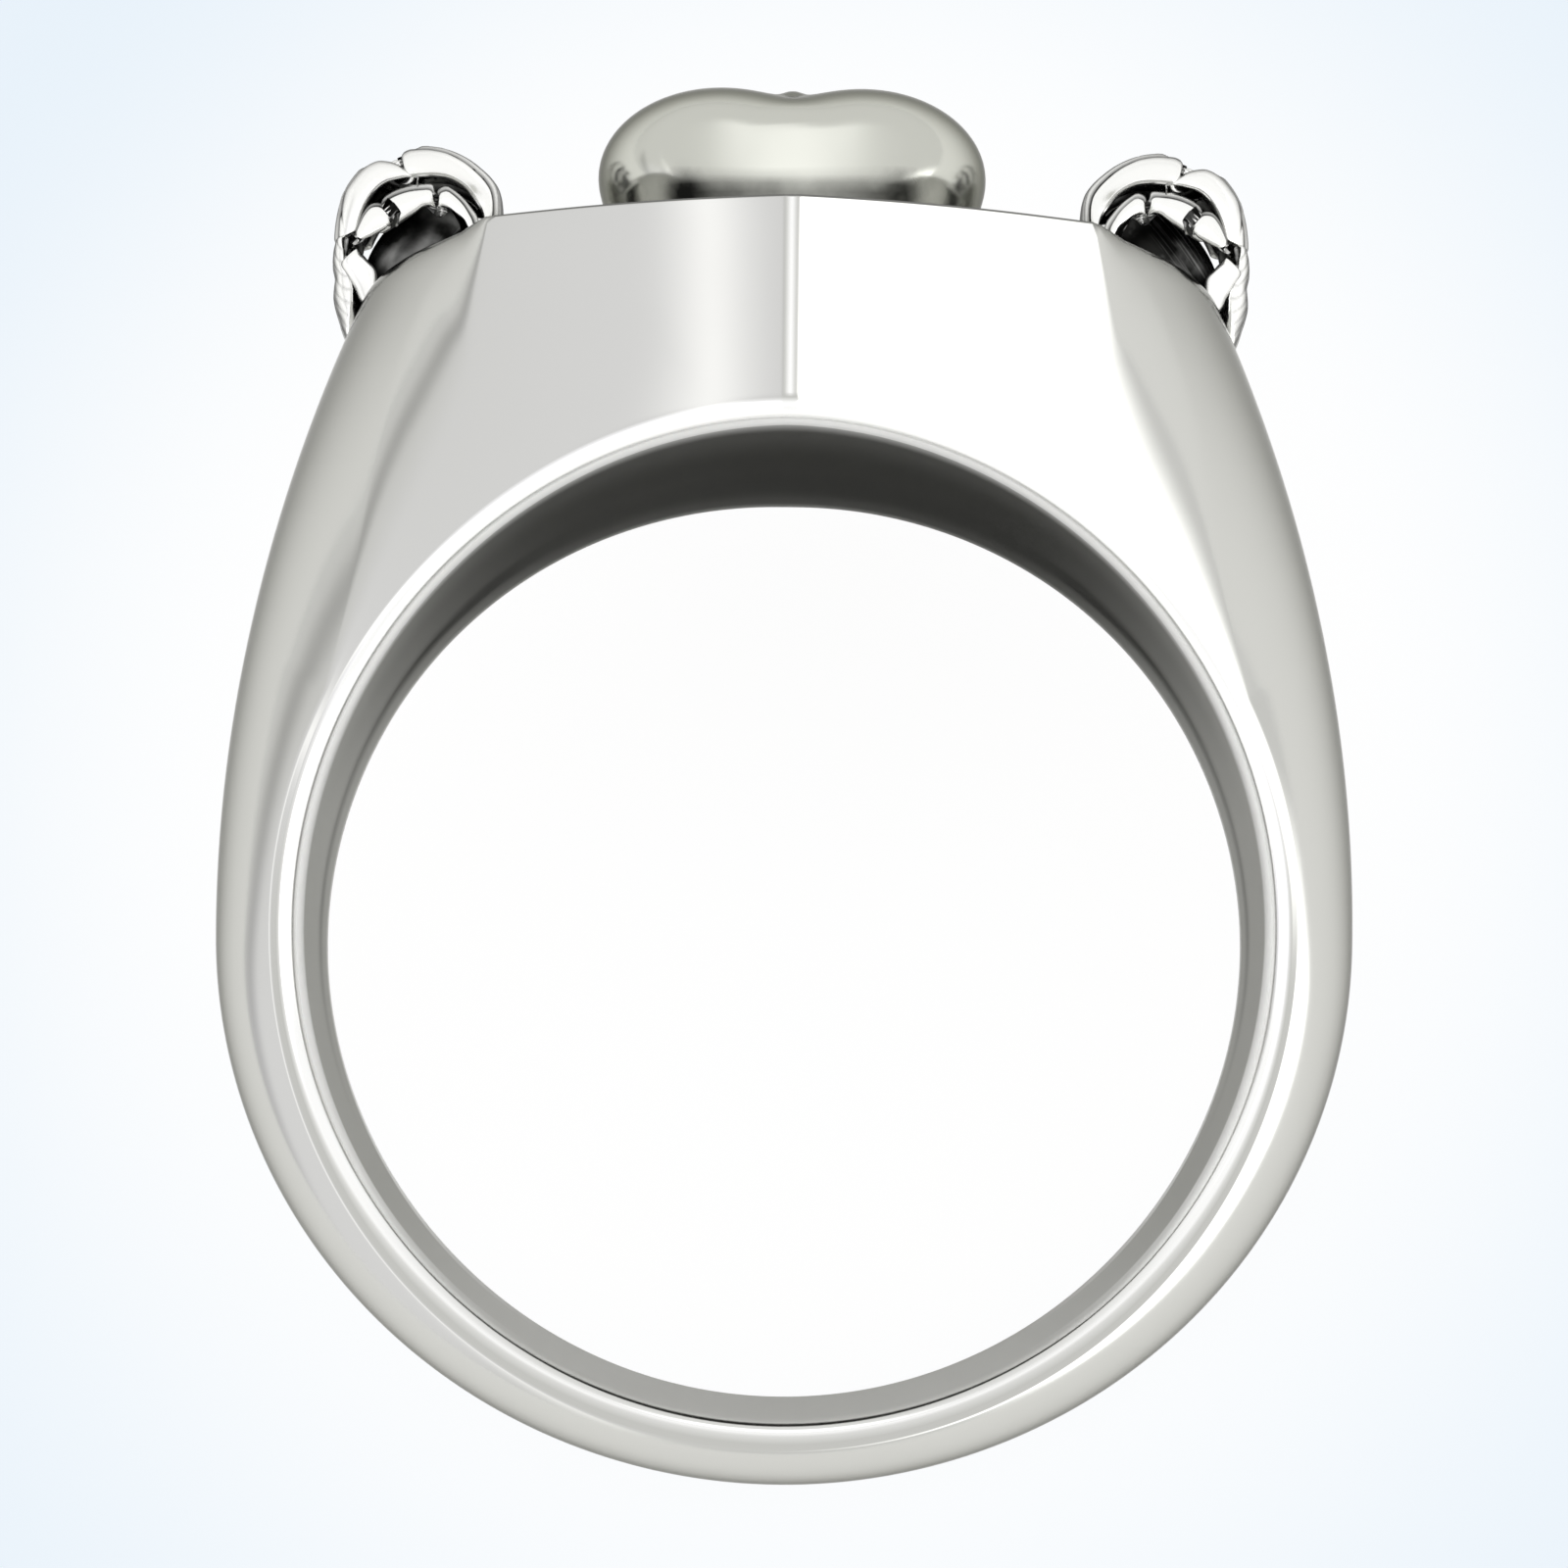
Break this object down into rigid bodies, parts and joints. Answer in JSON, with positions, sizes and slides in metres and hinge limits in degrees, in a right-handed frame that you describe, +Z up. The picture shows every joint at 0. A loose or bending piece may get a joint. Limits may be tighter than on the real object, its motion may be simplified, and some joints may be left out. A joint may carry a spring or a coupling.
{
  "type": "finger ring",
  "caption": "Cast silver signet-style ring with a skull in high relief on its flat pointed head, a rose on each shoulder and a plain tapering shank, lying on its side.",
  "frame": {"origin": "centre of the lying ring's footprint, on the surface it rests on", "axes": "+Z up; +Y along the lying ring towards its head, with the bore leaning back over the shank; +X across the ring"},
  "size_m": [0.0229, 0.0276, 0.0184],
  "materials": {
    "silver": "polished silver, darkened in the recesses"
  },
  "bodies": {
    "root": {"ring": "silver"}
  },
  "joints": []
}
